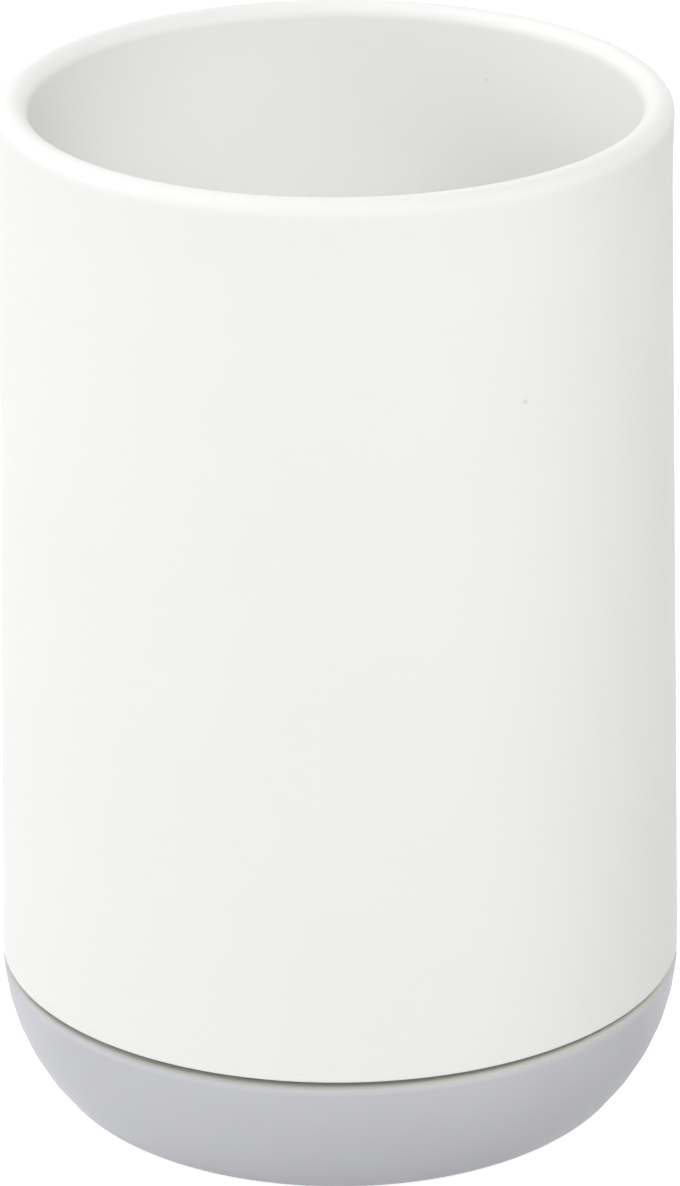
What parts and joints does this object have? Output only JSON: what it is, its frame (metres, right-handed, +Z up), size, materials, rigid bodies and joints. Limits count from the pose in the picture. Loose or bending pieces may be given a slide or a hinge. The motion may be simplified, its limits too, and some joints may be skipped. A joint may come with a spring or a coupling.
{
  "type": "toothbrush holder",
  "caption": "Open round tumbler that stands toothbrushes upright: a white sleeve with a rounded lip, snapped onto a grey bowl-shaped base with a soft foot.",
  "frame": {"origin": "middle of the underside of the foot pad, on the surface that the holder stands on", "axes": "+Z up along the axis of the tumbler, out of its mouth; X and Y are equivalent, and the first key is on +X"},
  "size_m": [0.0736, 0.0736, 0.1125],
  "materials": {
    "sleeve_white": "fine matte moulded white plastic with a soft sheen",
    "base_grey": "satin moulded plastic in a cool light grey",
    "seal_rubber": "pale grey elastomer",
    "pad_rubber": "dark grey matte elastomer"
  },
  "bodies": {
    "root": {"sleeve": "sleeve_white", "base": "base_grey", "seal_ring": "seal_rubber", "foot_pad": "pad_rubber"}
  },
  "joints": []
}
